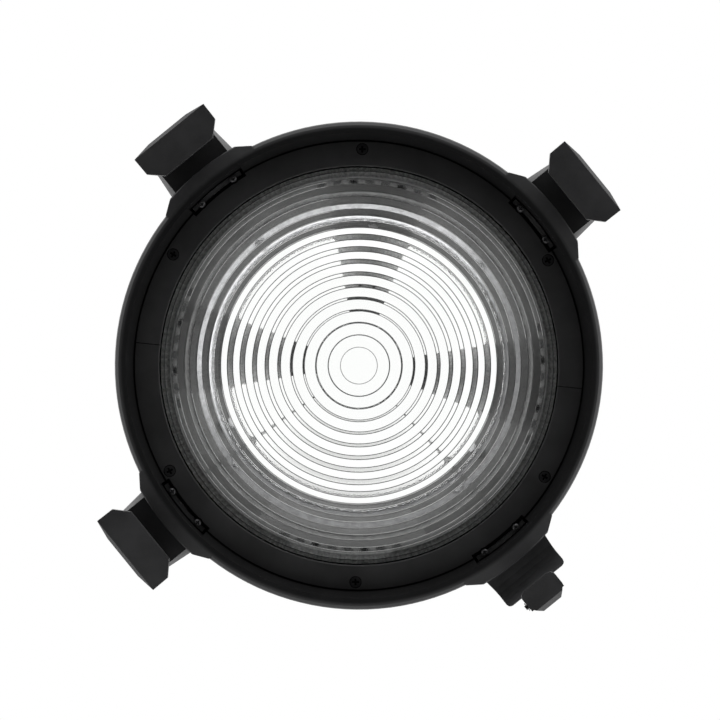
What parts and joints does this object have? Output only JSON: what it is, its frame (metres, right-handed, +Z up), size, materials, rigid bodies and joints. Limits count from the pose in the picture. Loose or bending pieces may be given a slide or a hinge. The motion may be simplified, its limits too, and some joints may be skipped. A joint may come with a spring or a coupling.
{
  "type": "zoom fresnel lens attachment for a studio spotlight",
  "caption": "Round stepped-lens attachment: large clear Fresnel lens in a black zooming barrel with three accessory ears, a hinged latch ear and a rear bayonet mount.",
  "frame": {"origin": "centre of the rear bayonet mount, in the plane of its seat, on the optical axis", "axes": "-Y forward along the beam, out of the lens; +Y back into the lamp head; +Z up; +X to the right seen from the front"},
  "size_m": [0.304, 0.19, 0.304],
  "materials": {
    "housing_black": "satin black powder coat over die-cast aluminium",
    "anodised_black": "fine-blasted black anodised aluminium",
    "screw_black": "black oxide steel",
    "screw_steel": "zinc-plated steel",
    "mount_silver": "bright machined aluminium",
    "satin_aluminium": "satin machined aluminium",
    "grip_rubber": "matt ribbed rubber",
    "gasket_rubber": "matt silicone rubber",
    "lens_glass": "pressed borosilicate glass, stippled flat side",
    "glide_plastic": "natural acetal",
    "spring_steel": "spring wire"
  },
  "bodies": {
    "mount_body": {"bayonet_ring": "mount_silver", "bayonet_screws": "screw_steel", "rear_housing": "housing_black", "aperture_ring": "satin_aluminium", "aperture_ring_screws": "screw_steel", "outer_barrel": "anodised_black", "barrel_screws": "screw_black", "barrel_glide_band": "glide_plastic", "zoom_collar": "anodised_black", "zoom_collar_screws": "screw_black", "safety_tab": "screw_black", "safety_tab_screws": "screw_steel"},
    "zoom_ring_body": {"cam_ring": "anodised_black", "zoom_ring": "anodised_black", "zoom_ring_screws": "screw_black", "zoom_grip": "grip_rubber"},
    "lens_carriage": {"carriage_tube": "anodised_black", "carriage_glide_band": "glide_plastic", "follower_studs": "screw_steel", "follower_sleeves": "glide_plastic", "follower_nuts": "screw_steel", "lens_housing": "housing_black", "housing_screws": "screw_black", "fresnel_lens": "lens_glass", "lens_rear_gasket": "gasket_rubber", "lens_front_gasket": "gasket_rubber", "retaining_ring_upper": "anodised_black", "retaining_ring_lower": "anodised_black", "retaining_ring_screws": "screw_black", "ear_upper_right": "housing_black", "ear_upper_left": "housing_black", "ear_lower_left": "housing_black", "latch_bracket": "housing_black", "ear_clamp_plates": "anodised_black", "ear_screws": "screw_black", "latch_pivot_pin": "screw_black", "latch_pin_clip": "spring_steel"},
    "latch": {"latch_keeper": "housing_black", "latch_spring": "spring_steel", "latch_spacer": "glide_plastic"}
  },
  "joints": [
    {"name": "zoom_turn", "type": "hinge", "parent": "mount_body", "child": "zoom_ring_body", "pos_m": [0, -0.072, 0], "axis": [0, -1, 0], "range_deg": [0, 90]},
    {"name": "carriage_slide", "type": "slide", "parent": "mount_body", "child": "lens_carriage", "axis": [0, -1, 0], "range_m": [0, 0.05]},
    {"name": "latch_swing", "type": "hinge", "parent": "lens_carriage", "child": "latch", "pos_m": [0.12799, -0.147, -0.12799], "axis": [0.7071, 0, 0.7071], "range_deg": [0, 100], "stiffness_Nm_per_rad": 0.05, "springref_deg": -20}
  ],
  "couplings": [
    {"joint": "carriage_slide", "follows": "zoom_turn", "m_per_rad": 0.031831}
  ]
}
